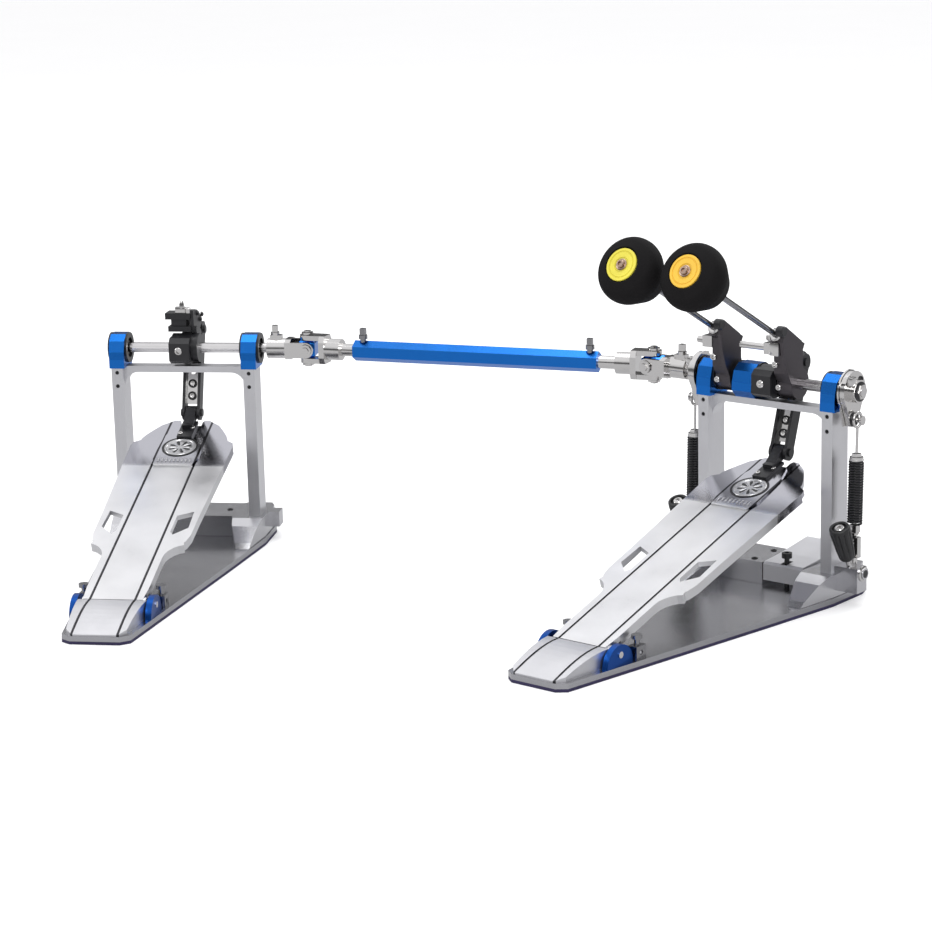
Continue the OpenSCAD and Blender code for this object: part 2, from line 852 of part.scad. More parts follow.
module knob(side) {
    on_knob(side) {
        difference() {
            translate([0, 0, knob_lo]) rotate_extrude() polygon([[0, 0], [6, 0], [7.5, 2], [8.6, 12],
                [10, 33], [9.2, knob_hi - knob_lo], [0, knob_hi - knob_lo]]);
            translate([0, 0, knob_hi - 3]) cylinder(h = 4, r = 6);
        }
        translate([0, 0, knob_hi - 4]) cylinder(h = 3.4, r = 4.5, $fn = 6);
        translate([0, 0, -16]) cylinder(h = 27, r = 3);
    }
}

module right_knob() color(BLACK) knob(1);
module left_knob() color(BLACK) knob(-1);

// ---------------------------------------------------------------- hoop clamp

hoop_screw_y = -14;

// Height of the jaw's underside at y, where the pad lies
function pad_line(y) = 24 + (y - 20) * 0.225;

module hoop_jaw() color(ALUMINIUM) difference() {
    union() {
        slab_x(jaw_x[0], jaw_x[1])
            polygon([[-22, 13], [-22, 28.5], [-19, 31], [10, 33], [56, 39], [60, 37], [60, pad_line(60)],
                [20, pad_line(20)], [8, 15], [-3, 15]]);
        translate([0, jaw_pivot[0], jaw_pivot[1]]) rod_x(jaw_x[0] - 8, jaw_x[1] + 8, trunnion_r);
    }
    // slot for the clamp screw
    box([jaw_mid - 3.5, hoop_screw_y - 5.7, 0], [jaw_mid + 3.5, hoop_screw_y + 6, 60]);
}

module hoop_pad() color(RUBBER)
    slab_x(jaw_x[0] + 3, jaw_x[1] - 3)
        polygon([[38, pad_line(38)], [58, pad_line(58)], [58, pad_line(58) - 3.5],
            [38, pad_line(38) - 3.5]]);

// Socket screw that holds the jaw's front down
module hoop_screw() color(STEEL) translate([jaw_mid, hoop_screw_y, base_top]) difference() {
    union() {
        cylinder(h = 29, r = 2.5);
        translate([0, 0, 28.5]) cylinder(h = 5, r = 5);
    }
    translate([0, 0, 30.5]) cylinder(h = 4, r = 2.5, $fn = 6);
}

// ---------------------------------------------------------------- drive shaft

// A fork about the joint's centre: arms across y, collar towards +x
module yoke(bolt_hole, collar_r, collar_end, bore) {
    difference() {
        union() {
            for (side = [-1, 1])
                translate([0, side * (yoke_arm_lo + yoke_arm_hi) / 2, 0]) rotate([90, 0, 0])
                    linear_extrude(yoke_arm_hi - yoke_arm_lo, center = true) {
                        circle(r = yoke_w);
                        translate([0, -yoke_w]) square([yoke_root + 2, 2 * yoke_w]);
                    }
            translate([yoke_root, 0, 0]) rotate([90, 0, 90]) linear_extrude(6)
                polygon([[-yoke_arm_hi, -yoke_w], [-yoke_arm_hi, yoke_w], [-8, collar_r], [8, collar_r],
                    [yoke_arm_hi, yoke_w], [yoke_arm_hi, -yoke_w], [8, -collar_r], [-8, -collar_r]]);
            rod_x(yoke_root + 5, collar_end, collar_r);
        }
        rotate([90, 0, 0]) cylinder(h = 60, r = bolt_hole, center = true);
        rod_x(yoke_root + 5.9, collar_end + 1, bore);
    }
}

// Fork on an axle's end with the lug of its clamp screw on top
module axle_yoke() {
    yoke(yoke_bolt_r + run_gap, 10.5, 42, axle_r + 0.02);
    translate([0, 0, 9]) box([27, -4, 0], [39, 4, 5]);
    translate([34, 0, 14]) cylinder(h = 3, r = 4.5);
    translate([34, 0, 17]) box([-2.75, -2.75, 0], [2.75, 2.75, 7]);
}

module cross_block() {
    difference() {
        intersection() {
            cube(18, center = true);
            rotate([45, 0, 0]) cube([18, 22, 22], center = true);
            rotate([0, 45, 0]) cube([22, 18, 22], center = true);
        }
        for (a = [[0, 0, 0], [90, 0, 0]]) rotate(a) cylinder(h = 30, r = yoke_bolt_r + 0.02, center = true);
    }
}

// Four bolts screwed into the cross; their shanks are the joint's pins
module cross_bolts() {
    for (a = [0:90:270]) rotate([a, 0, 0]) {
        translate([0, 0, 4.5]) cylinder(h = yoke_arm_hi - 4, r = yoke_bolt_r);
        translate([0, 0, yoke_arm_hi + 0.5]) cylinder(h = 2, r = 6.2);
        translate([0, 0, yoke_arm_hi + 2.5]) cylinder(h = 1.5, r = 4, $fn = 6);
    }
}

module at_main_joint() {
    translate([main_joint[0], main_joint[1], axle_h]) children();
}

module at_slave_joint() {
    translate([slave_joint[0], slave_joint[1], axle_h]) rotate([0, 0, slave_yaw + 180]) children();
}

module main_yoke() color(STEEL) at_main_joint() axle_yoke();
module slave_yoke() color(STEEL) at_slave_joint() axle_yoke();
module main_cross() color(BLUE) at_main_joint() cross_block();
module slave_cross() color(BLUE) at_slave_joint() cross_block();
module main_cross_bolts() color(STEEL) at_main_joint() cross_bolts();
module slave_cross_bolts() color(STEEL) at_slave_joint() cross_bolts();

// Fork on the drive shaft, its arms above and below, with its telescopic rod
module shaft_yoke() {
    rotate([90, 0, 0]) yoke(yoke_bolt_r + yoke_slack, 11, 38, 1);
    rod_x(24, tube_gap + 90, shaft_rod_r);
}

module slave_shaft_yoke() color(STEEL) on_shaft() shaft_yoke();
module main_shaft_yoke() color(STEEL) on_shaft()
    translate([shaft_len, 0, 0]) mirror([1, 0, 0]) shaft_yoke();

screw_in = 9;                // from a tube end to its clamp screw

module drive_tube() color(BLUE) on_shaft() difference() {
    rotate([90, 0, 0]) rod_x(tube_gap, tube_end, tube_af / 2 / cos(30), 6);
    rod_x(tube_gap - 1, tube_end + 1, shaft_rod_r + run_gap);
    for (x = [tube_gap + screw_in, tube_end - screw_in])
        translate([x, 0, 0]) cylinder(h = 20, r = 3 + run_gap);
}

// Clamp screws with square heads for a drum key
module tube_screws() color(STEEL) on_shaft()
    for (x = [tube_gap + screw_in, tube_end - screw_in])
        translate([x, 0, 0]) {
            translate([0, 0, shaft_rod_r + run_gap]) cylinder(h = 6, r = 3);
            translate([0, 0, shaft_rod_r + 6]) cylinder(h = 4, r = 4.5);
            translate([0, 0, shaft_rod_r + 10]) box([-2.75, -2.75, 0], [2.75, 2.75, 7]);
        }

// ---------------------------------------------------------------- drawing

main_base();
slave_base();
base_mats();
heel_plates();
main_frame();
slave_frame();
frame_screws();
hinge_blocks();
hinge_pins();
hinge_locks();
bearing_housings();
bearings();
spring_anchors();
main_footboard();
main_toe_clevis();
main_link();
main_link_sides();
main_link_pins();
main_axle();
main_drive_cam();
right_beater_holder();
right_holder_screw();
right_beater_shaft();
right_beater_head();
right_beater_disc();
right_rocker();
right_spring();
right_spring_hook();
stub_axle();
left_beater_holder();
left_holder_screw();
left_beater_shaft();
left_beater_head();
left_beater_disc();
left_rocker();
left_spring();
left_spring_hook();
right_knob();
left_knob();
hoop_jaw();
hoop_pad();
hoop_screw();
slave_footboard();
slave_toe_clevis();
slave_link();
slave_link_sides();
slave_link_pins();
slave_axle();
slave_drive_cam();
slave_holder();
slave_yoke();
slave_cross();
slave_cross_bolts();
slave_shaft_yoke();
drive_tube();
tube_screws();
main_shaft_yoke();
main_cross();
main_cross_bolts();
main_yoke();
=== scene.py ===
"""Looks for the double bass drum pedal: materials, fine pieces, studio and camera.

Sizes are in millimetres; MM turns them into the frame's metres.
Pieces of a pedal are built in the main pedal's place and carried to the slave pedal by its matrix.
"""
import json
import math

import bmesh
import bpy
from mathutils import Matrix, Vector


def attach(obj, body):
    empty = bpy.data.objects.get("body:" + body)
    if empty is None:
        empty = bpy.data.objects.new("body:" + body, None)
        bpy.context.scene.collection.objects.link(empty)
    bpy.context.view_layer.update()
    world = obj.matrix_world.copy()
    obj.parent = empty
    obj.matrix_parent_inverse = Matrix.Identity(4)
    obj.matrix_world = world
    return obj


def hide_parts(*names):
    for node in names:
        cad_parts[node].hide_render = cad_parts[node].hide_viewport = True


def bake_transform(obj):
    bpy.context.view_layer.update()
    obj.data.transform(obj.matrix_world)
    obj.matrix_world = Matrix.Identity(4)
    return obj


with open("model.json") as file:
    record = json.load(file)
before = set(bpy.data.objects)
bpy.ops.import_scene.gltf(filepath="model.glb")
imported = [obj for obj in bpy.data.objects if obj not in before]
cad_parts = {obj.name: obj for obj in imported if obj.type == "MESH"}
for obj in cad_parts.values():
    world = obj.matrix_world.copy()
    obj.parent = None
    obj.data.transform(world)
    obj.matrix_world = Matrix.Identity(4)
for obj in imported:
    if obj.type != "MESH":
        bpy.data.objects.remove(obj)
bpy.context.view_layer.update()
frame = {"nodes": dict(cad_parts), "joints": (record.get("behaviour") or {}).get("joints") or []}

MM = 0.001
JOINTS = {j["name"]: j for j in frame["joints"]}


# ---------------------------------------------------------------- places

def joint_place(name):
    return Vector(JOINTS[name]["pos_m"])


def joint_axis(name):
    return Vector(JOINTS[name]["axis"]).normalized()


def aimed(origin, z_axis, hint=(1, 0, 0)):
    """Matrix that puts z along z_axis, and x as near hint as it can, with its origin at origin."""
    z = Vector(z_axis).normalized()
    y = z.cross(Vector(hint)).normalized()
    x = y.cross(z)
    return Matrix.Translation(origin) @ Matrix((x, y, z)).transposed().to_4x4()


def mm(x, y, z):
    return Vector((x, y, z)) * MM


def on_circle(radius, height, i, steps):
    """Point i of steps on a circle about z, its radius and height in mm."""
    angle = 2 * math.pi * i / steps
    return mm(radius * math.cos(angle), radius * math.sin(angle), height)


def moved(x, y, z):
    """Matrix that shifts by millimetres."""
    return Matrix.Translation(mm(x, y, z))


AXLE = joint_place("right_beater_swing")
HINGE = joint_place("main_footboard_tilt")
BOARD_SLOPE = math.radians(17)
BOARD_EDGE = mm(0, -7.5, 6.5)          # a footboard's front top edge, from its hinge
MAIN = Matrix.Identity(4)
SLAVE_X = -joint_axis("slave_pedal_swing")
SLAVE_AT = joint_place("slave_pedal_swing")
SLAVE = (Matrix.Translation((SLAVE_AT.x, SLAVE_AT.y, 0))
         @ Matrix.Rotation(math.atan2(SLAVE_X.y, SLAVE_X.x), 4, "Z"))
BEATER_UP = joint_axis("right_beater_height")
BEATER_OUT = Vector((1, 0, 0)).cross(BEATER_UP) * -1
ROD_OFFSET = 31.2 * MM                 # of a beater shaft's middle from the axle's
HOLDER_X = {"right": 18, "left": -52}  # middle of each beater shaft, along the axle
FRONT = (0, -1, 0)


def board_matrix(side):
    """Footboard's own frame: x across, y up the slope, z off its top, origin at its front edge."""
    return side @ Matrix.Translation(HINGE + BOARD_EDGE) @ Matrix.Rotation(BOARD_SLOPE, 4, "X")


def beater_matrix(x_mm):
    """A beater shaft's own frame: z up the shaft, origin level with the axle."""
    return aimed(Vector((x_mm * MM, 0, AXLE.z)) + BEATER_OUT * ROD_OFFSET, BEATER_UP)


def spring_matrix(side):
    """A spring's own frame: z from its anchor up towards the rocker."""
    return aimed(joint_place(f"{side}_spring_tilt"), joint_axis(f"{side}_spring_stretch"))


def facing(side, x_mm, y_mm, z_mm, way):
    """Matrix at a point from the axle's centre, its z along way, carried to side's pedal."""
    hint = (0, 0, 1) if way[0] else (1, 0, 0)
    return side @ aimed(AXLE + mm(x_mm, y_mm, z_mm), way, hint)


# ---------------------------------------------------------------- node materials

def new_material(name):
    mat = bpy.data.materials.new(name)
    mat.use_nodes = True
    nodes = mat.node_tree.nodes
    return mat, nodes, mat.node_tree.links, nodes["Principled BSDF"]


def noise(nodes, links, vector, scale, detail=4.0):
    tex = nodes.new("ShaderNodeTexNoise")
    tex.inputs["Scale"].default_value = scale
    tex.inputs["Detail"].default_value = detail
    tex.inputs["Roughness"].default_value = NOISE_ROUGH
    links.new(vector, tex.inputs["Vector"])
    return tex.outputs["Fac"]


def ranged(nodes, links, value, low, high, from_low=0.3, from_high=0.7):
    node = nodes.new("ShaderNodeMapRange")
    node.inputs["From Min"].default_value = from_low
    node.inputs["From Max"].default_value = from_high
    node.inputs["To Min"].default_value = low
    node.inputs["To Max"].default_value = high
    links.new(value, node.inputs["Value"])
    return node.outputs["Result"]


def mixed(nodes, links, factor, a, b):
    node = nodes.new("ShaderNodeMix")
    node.data_type = "RGBA"
    for name, value in (("Factor", factor), ("A", a), ("B", b)):
        socket = node.inputs[name]
        if isinstance(value, bpy.types.NodeSocket):
            links.new(value, socket)
        elif isinstance(value, (int, float)):
            socket.default_value = value
        else:
            socket.default_value = (*value, 1)
    return node.outputs["Result"]


def bumped(nodes, links, height, strength, distance, bsdf):
    node = nodes.new("ShaderNodeBump")
    node.inputs["Strength"].default_value = strength
    node.inputs["Distance"].default_value = distance
    links.new(height, node.inputs["Height"])
    links.new(node.outputs["Normal"], bsdf.inputs["Normal"])


def stretched(nodes, links, scale, turn=0.0):
    """Object coordinates, plain and also turned about z and stretched, for brushed finishes."""
    coord = nodes.new("ShaderNodeTexCoord").outputs["Object"]
    mapping = nodes.new("ShaderNodeMapping")
    mapping.vector_type = "TEXTURE"
    mapping.inputs["Rotation"].default_value = (0, 0, turn)
    mapping.inputs["Scale"].default_value = tuple(1 / s for s in scale)
    links.new(coord, mapping.inputs["Vector"])
    return coord, mapping.outputs["Vector"]


def calculated(nodes, links, operation, a, b):
    node = nodes.new("ShaderNodeMath")
    node.operation = operation
    for socket, value in zip(node.inputs, (a, b)):
        if isinstance(value, bpy.types.NodeSocket):
            links.new(value, socket)
        else:
            socket.default_value = value
    return node.outputs[0]


NOISE_ROUGH = 0.55
METAL_PATCHES, COAT_PATCHES = 22, 30   # noise scales of the patches
GRAIN_DEPTH, SKIN_DEPTH = 0.2, 0.3     # of a metal's grain and a coating's skin
COAT_ROUGH = 0.12                      # roughness of the clear coat over a metal


def metal(name, color, rough, spread=0.08, grain=(1, 1, 1), grain_scale=900, grain_bump=0.15,
          tint=0.05, turn=0.0, coat=0.0):
    """Metal with patchy roughness and a fine grain, packed closer along an axis by grain."""
    mat, nodes, links, bsdf = new_material(name)
    coord, along = stretched(nodes, links, grain, turn)
    patches = noise(nodes, links, coord, METAL_PATCHES)
    fine = noise(nodes, links, along, grain_scale, 3)
    bsdf.inputs["Metallic"].default_value = 1
    dark = tuple(c * (1 - tint) for c in color)
    light = tuple(min(1, c * (1 + tint)) for c in color)
    shade = mixed(nodes, links, ranged(nodes, links, patches, 0, 1), dark, light)
    links.new(shade, bsdf.inputs["Base Color"])
    patchy = ranged(nodes, links, patches, rough - spread / 2, rough + spread / 2)
    grainy = ranged(nodes, links, fine, -spread / 2, spread / 2)
    links.new(calculated(nodes, links, "ADD", patchy, grainy), bsdf.inputs["Roughness"])
    bumped(nodes, links, fine, grain_bump, GRAIN_DEPTH * MM, bsdf)
    bsdf.inputs["Coat Weight"].default_value = coat
    bsdf.inputs["Coat Roughness"].default_value = COAT_ROUGH
    return mat


def coated(name, color, rough, speckle=0.25, scale=700, bump=0.25, metallic=0.0, specular=0.5):
    """Paint, plastic or rubber with a moulded or sprayed skin."""
    mat, nodes, links, bsdf = new_material(name)
    coord = nodes.new("ShaderNodeTexCoord").outputs["Object"]
    skin = noise(nodes, links, coord, scale, 2)
    patches = noise(nodes, links, coord, COAT_PATCHES)
    dark = tuple(c * (1 - speckle) for c in color)
    light = tuple(min(1, c * (1 + speckle)) for c in color)
    shade = mixed(nodes, links, ranged(nodes, links, patches, 0, 1), dark, light)
    links.new(shade, bsdf.inputs["Base Color"])
    bsdf.inputs["Metallic"].default_value = metallic
    bsdf.inputs["Specular IOR Level"].default_value = specular
    links.new(ranged(nodes, links, patches, rough - 0.06, rough + 0.06), bsdf.inputs["Roughness"])
    bumped(nodes, links, skin, bump, SKIN_DEPTH * MM, bsdf)
    return mat


GROOVE_X, GROOVE_HALF = 22, 1.2        # a groove's middle and half width, across a footboard
GROOVE_SHADE = 0.97                    # how far a groove's colour goes to dark, as painted shade
POLISH_FROM = 228                      # from the hinge to the polished toe area
POLISH_EDGE = 6                        # over which satin gives way to polish
POLISH_ROUGH = 0.08
PLATE_TOP = 8                          # of the base plate, above the floor


def along_axis(nodes, links, coord, axis):
    """How far coord lies along axis."""
    node = nodes.new("ShaderNodeVectorMath")
    node.operation = "DOT_PRODUCT"
    node.inputs[1].default_value = axis
    links.new(coord, node.inputs[0])
    return node.outputs["Value"]


def tinted(mat, mask, color):
    """Blends a material's colour towards color where mask is 1."""
    nodes, links = mat.node_tree.nodes, mat.node_tree.links
    base = nodes["Principled BSDF"].inputs["Base Color"]
    before = base.links[0].from_socket
    links.new(mixed(nodes, links, mask, before, color), base)


def darken_grooves(mat, sides):
    """Paints shade into the two grooves that run up the middle of a footboard and its heel plate.
    """
    nodes, links = mat.node_tree.nodes, mat.node_tree.links
    coord = nodes.new("ShaderNodeTexCoord").outputs["Object"]
    for side in sides:
        across = side.to_3x3() @ Vector((1, 0, 0))
        middle = side.translation.dot(across)
        place = along_axis(nodes, links, coord, across)
        offset = calculated(nodes, links, "SUBTRACT", place, middle)
        from_middle = calculated(nodes, links, "ABSOLUTE", offset, 0)
        off_groove = calculated(nodes, links, "SUBTRACT", from_middle, GROOVE_X * MM)
        near = calculated(nodes, links, "ABSOLUTE", off_groove, 0)
        edge = (GROOVE_HALF * 0.9 * MM, GROOVE_HALF * 1.1 * MM)
        mask = ranged(nodes, links, near, GROOVE_SHADE, 0, *edge)
        # painted shade: the inside of each groove drawn near black
        tinted(mat, mask, (0.03, 0.03, 0.035))


def board_material(name, side):
    """Footboard plate: satin where the foot rests, polished like a mirror towards the toe."""
    mat = metal(name, (0.74, 0.74, 0.75), 0.34, 0.08, (1, 14, 1), 500, 0.12,
                turn=-math.atan2(side[0][1], side[0][0]))
    nodes, links = mat.node_tree.nodes, mat.node_tree.links
    bsdf = nodes["Principled BSDF"]
    coord = nodes.new("ShaderNodeTexCoord").outputs["Object"]
    toe_way = side.to_3x3() @ Vector((0, 1, 0))
    start = (side @ HINGE).dot(toe_way)
    toe = ranged(nodes, links, along_axis(nodes, links, coord, toe_way), 0, 1,
                 start + POLISH_FROM * MM, start + (POLISH_FROM + POLISH_EDGE) * MM)
    rough = bsdf.inputs["Roughness"].links[0].from_socket
    mix = nodes.new("ShaderNodeMix")
    links.new(toe, mix.inputs["Factor"])
    links.new(rough, mix.inputs["A"])
    mix.inputs["B"].default_value = POLISH_ROUGH
    links.new(mix.outputs["Result"], bsdf.inputs["Roughness"])
    tinted(mat, toe, (0.50, 0.50, 0.54))
    darken_grooves(mat, [side])
    return mat


def base_material():
    """Base: brushed grey plate below, paler cast feet and beam above it."""
    mat = metal("base_aluminium", (0.47, 0.47, 0.49), 0.20, 0.05, (1, 30, 1), 700, 0.15, tint=0.04)
    nodes, links = mat.node_tree.nodes, mat.node_tree.links
    coord = nodes.new("ShaderNodeTexCoord").outputs["Object"]
    height = along_axis(nodes, links, coord, (0, 0, 1))
    above = ranged(nodes, links, height, 0, 1, (PLATE_TOP + 0.3) * MM, (PLATE_TOP + 1.0) * MM)
    tinted(mat, above, (0.63, 0.63, 0.65))
    return mat


SATIN = metal("satin_aluminium", (0.62, 0.62, 0.64), 0.40, 0.10, (1, 1, 1), 1500, 0.2)
COLUMN = metal("extruded_aluminium", (0.72, 0.72, 0.74), 0.34, 0.08, (1, 1, 0.04), 900, 0.2)
HEEL = metal("heel_plate_aluminium", (0.66, 0.66, 0.68), 0.34, 0.08, (1, 14, 1), 500, 0.12)
darken_grooves(HEEL, [MAIN, SLAVE])
CHROME = metal("nickel_plate", (0.66, 0.65, 0.64), 0.12, 0.06, (1, 1, 1), 900, 0.06)
STEEL = metal("turned_steel", (0.66, 0.65, 0.65), 0.20, 0.08, (0.05, 1, 1), 900, 0.12)
DARK_STEEL = metal("dark_steel", (0.30, 0.30, 0.31), 0.22, 0.08, (1, 1, 1), 900, 0.08)
BLUE = metal("blue_anodised", (0.012, 0.175, 0.64), 0.22, 0.06, (1, 1, 1), 1600, 0.12, coat=0.15)
NAVY = metal("navy_anodised", (0.012, 0.075, 0.33), 0.32, 0.06, (1, 1, 1), 1600, 0.12)
BLACK = coated("black_coated_steel", (0.012, 0.012, 0.014), 0.36, 0.2, 900, 0.15, 0.1, 0.5)
GREY_PLATE = metal("grey_coated_plate", (0.10, 0.092, 0.10), 0.42, 0.08, (1, 1, 1), 900, 0.2)
BEARING = coated("bearing_black", (0.010, 0.010, 0.011), 0.32, 0.2, 900, 0.1, 0.2, 0.5)
RUBBER = coated("mat_rubber", (0.014, 0.009, 0.050), 0.55, 0.2, 500, 0.4)
PLASTIC = coated("knob_plastic", (0.010, 0.010, 0.011), 0.42, 0.2, 800, 0.35)
HEAD = coated("head_moulding", (0.0045, 0.004, 0.0045), 0.75, 0.35, 420, 0.8, specular=0.14)
WIRE = coated("spring_wire", (0.010, 0.010, 0.012), 0.30, 0.2, 700, 0.15, 0.3, 0.6)
YELLOW = coated("yellow_disc", (0.60, 0.53, 0.055), 0.45, 0.10, 400, 0.2, specular=0.35)
ORANGE = coated("orange_disc", (0.66, 0.40, 0.040), 0.45, 0.10, 400, 0.2, specular=0.35)
COPPER = metal("copper_screw", (0.46, 0.33, 0.26), 0.26)
BADGE = metal("badge_plate", (0.56, 0.56, 0.57), 0.30, 0.1, (1, 1, 1), 700, 0.1)

NODE_MATERIALS = {
    base_material(): ("main_base", "slave_base"),
    COLUMN: ("main_frame", "slave_frame"),
    SATIN: ("hoop_jaw",),
    HEEL: ("heel_plates",),
    board_material("main_board_plate", MAIN): ("main_footboard",),
    board_material("slave_board_plate", SLAVE): ("slave_footboard",),
    RUBBER: ("base_mats", "hoop_pad"),
    NAVY: ("hinge_blocks",),
    BLUE: ("bearing_housings", "drive_tube", "main_cross", "slave_cross"),
    BEARING: ("bearings",),
    BLACK: ("frame_screws", "main_toe_clevis", "slave_toe_clevis", "main_link_sides",
            "slave_link_sides", "main_drive_cam", "slave_drive_cam", "slave_holder", "hoop_screw",
            "main_link_pins", "slave_link_pins"),
    GREY_PLATE: ("right_beater_holder", "left_beater_holder"),
    STEEL: ("main_axle", "stub_axle", "slave_axle"),
    CHROME: ("hinge_pins", "spring_anchors", "main_link", "slave_link", "right_holder_screw",
             "left_holder_screw", "right_rocker", "left_rocker", "right_spring_hook",
             "left_spring_hook", "main_yoke", "slave_yoke", "main_cross_bolts", "slave_cross_bolts",
             "slave_shaft_yoke", "main_shaft_yoke"),
    DARK_STEEL: ("right_beater_shaft", "left_beater_shaft", "tube_screws", "hinge_locks"),
    HEAD: ("right_beater_head", "left_beater_head"),
    YELLOW: ("left_beater_disc",),
    ORANGE: ("right_beater_disc",),
    WIRE: ("right_spring", "left_spring"),
    PLASTIC: ("right_knob", "left_knob"),
}

EDGE_BEVEL, EDGE_ANGLE = 0.5, math.radians(38)    # width, and the least angle it is made at


def dress_nodes():
    """Gives every CAD node its material and finely bevelled edges."""
    for mat, names in NODE_MATERIALS.items():
        for name in names:
            node = frame["nodes"][name]
            node.data.materials.clear()
            node.data.materials.append(mat)
            bevel = node.modifiers.new("edges", "BEVEL")
            bevel.width = EDGE_BEVEL * MM
            bevel.segments = 2
            bevel.limit_method = "ANGLE"
            bevel.angle_limit = EDGE_ANGLE
            bevel.use_clamp_overlap = True
            bevel.harden_normals = True


# ---------------------------------------------------------------- mesh helpers

def make_piece(name, bm, mat, body, smooth_angle=35):
    """Turns a bmesh into a piece with mat as its material, that rides on body if one is given."""
    bmesh.ops.recalc_face_normals(bm, faces=bm.faces)
    mesh = bpy.data.meshes.new(name)
    bm.to_mesh(mesh)
    bm.free()
    obj = bpy.data.objects.new(name, mesh)
    bpy.context.collection.objects.link(obj)
    obj.data.materials.append(mat)
    mesh.shade_smooth()
    mesh.set_sharp_from_angle(angle=math.radians(smooth_angle))
    if body is not None:
        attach(obj, body)
    return obj


def add_turned(bm, matrix, profile, steps):
    """Adds a body turned about matrix's z from a profile of (radius, height) points in mm."""
    rings = []
    for radius, height in profile:
        count = steps if radius else 1
        spots = [matrix @ on_circle(radius, height, i, steps) for i in range(count)]
        rings.append([bm.verts.new(spot) for spot in spots])
    skin_rings(bm, rings, steps)


def skin_rings(bm, rings, steps):
    """Joins rings of verts with faces; a ring of one vert is a point on the axis."""
    for low, high in zip(rings, rings[1:]):
        for i in range(steps):
            after = i + 1
            corners = [low[i % len(low)], low[after % len(low)],
                       high[after % len(high)], high[i % len(high)]]
            unique = list(dict.fromkeys(corners))
            if len(unique) > 2:
                bm.faces.new(unique)


def add_tube(bm, points, radius, sides):
    """Adds a round wire through points (Vectors in metres), its ends closed."""
    rings = []
    for i, point in enumerate(points):
        way = (points[min(i + 1, len(points) - 1)] - points[max(i - 1, 0)]).normalized()
        hint = Vector((1, 0, 0)) if abs(way.x) < 0.9 else Vector((0, 0, 1))
        side = way.cross(hint).normalized()
        up = side.cross(way)
        ring = []
        for k in range(sides):
            angle = 2 * math.pi * k / sides
            out = side * math.cos(angle) + up * math.sin(angle)
            ring.append(bm.verts.new(point + out * radius))
        rings.append(ring)
    skin_rings(bm, rings, sides)
    bm.faces.new(rings[0])
    bm.faces.new(rings[-1])


def softened(corners, radius, steps):
    """A (radius, height) profile with each inner corner turned into a short curve."""
    points = [corners[0]]
    for before, here, after in zip(corners, corners[1:], corners[2:]):
        a, b, c = Vector(before), Vector(here), Vector(after)
        reach = min(radius, (b - a).length * 0.45, (c - b).length * 0.45)
        start, end = b + (a - b).normalized() * reach, b + (c - b).normalized() * reach
        for i in range(steps + 1):
            t = i / steps
            points.append(tuple(start * (1 - t) ** 2 + b * 2 * t * (1 - t) + end * t ** 2))
    points.append(corners[-1])
    return points


def add_block(bm, matrix, size, bevel):
    """Box centred on matrix's origin with its edges rounded; size and bevel in mm."""
    made = bmesh.ops.create_cube(bm, size=1, matrix=matrix @ Matrix.Diagonal((*mm(*size), 1)))
    edges = list({e for v in made["verts"] for e in v.link_edges})
    bmesh.ops.bevel(bm, geom=edges, offset=bevel * MM, segments=2, profile=0.6, affect="EDGES")


def add_plate(bm, matrix, x_lo, x_hi, outline):
    """Adds a flat plate that lies across x, from its (y, z) outline in mm."""
    sides = [[bm.verts.new(matrix @ mm(x, y, z)) for y, z in outline] for x in (x_lo, x_hi)]
    count = len(outline)
    for i in range(count):
        after = (i + 1) % count
        bm.faces.new((sides[0][i], sides[0][after], sides[1][after], sides[1][i]))
    for ends in sides:
        bm.faces.new(ends)


SCREW_STEPS = 30


def add_socket_screw(bm, matrix, radius, height):
    """Round screw head with a bevelled rim and a six-sided socket; z points out of the head."""
    socket = radius * 0.5
    rim = [(radius, height - 0.5), (radius - 0.5, height), (socket + 0.3, height)]
    add_turned(bm, matrix, [(0, 0), (radius, 0)] + rim, SCREW_STEPS)
    bm.verts.ensure_lookup_table()
    ring = bm.verts[-SCREW_STEPS:]
    inner = [bm.verts.new(matrix @ on_circle(socket, height - 0.1, i, 6)) for i in range(6)]
    floor = [bm.verts.new(matrix @ on_circle(socket, height * 0.35, i, 6)) for i in range(6)]
    side_steps = SCREW_STEPS // 6
    for i in range(6):
        after = (i + 1) % 6
        bm.faces.new((inner[i], inner[after], floor[after], floor[i]))
        fan = [ring[(i * side_steps + k) % SCREW_STEPS] for k in range(side_steps + 1)]
        bm.faces.new([inner[i]] + fan + [inner[after]])
    bm.faces.new(floor)


def add_bolt(bm, matrix, radius, height):
    """Six-sided bolt head with a chamfered top and a round collar below."""
    wide, low, top = radius * 1.25, height * 0.2, height * 0.25
    add_turned(bm, matrix, [(0, 0), (wide, 0), (wide, low), (radius * 0.98, top), (0, top)], 30)
    head = [(0, low), (radius, low), (radius, height * 0.85), (radius * 0.82, height), (0, height)]
    add_turned(bm, matrix, head, 6)


# ---------------------------------------------------------------- beater heads and discs

HEAD_FACE = 217                        # outer face of a beater head, along its shaft
HEAD_LENGTH = 46
HEAD_RADIUS = 32
DISC_RADIUS = 15.8


def make_head(side, x_mm):
    """Moulding with a rounded front, widest a third of the way back, then a straight taper."""
    base = HEAD_FACE - HEAD_LENGTH
    r = HEAD_RADIUS
    floor = HEAD_FACE - 2.4
    back = [(0, base + 2), (3.4, base), (r * 0.60, base), (r * 0.66, base + 2)]
    front = [(r * 0.97, base + 23), (r, base + 29), (r * 0.97, base + 36), (r * 0.86, base + 41.5)]
    recess = [(DISC_RADIUS + 1.4, HEAD_FACE), (DISC_RADIUS + 0.5, floor + 0.2), (0, floor)]
    bm = bmesh.new()
    add_turned(bm, beater_matrix(x_mm), softened(back + front + recess, 3.5, 6), 96)
    head = make_piece(f"{side}_head_moulding", bm, HEAD, f"{side}_beater", 50)
    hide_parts(f"{side}_beater_head")


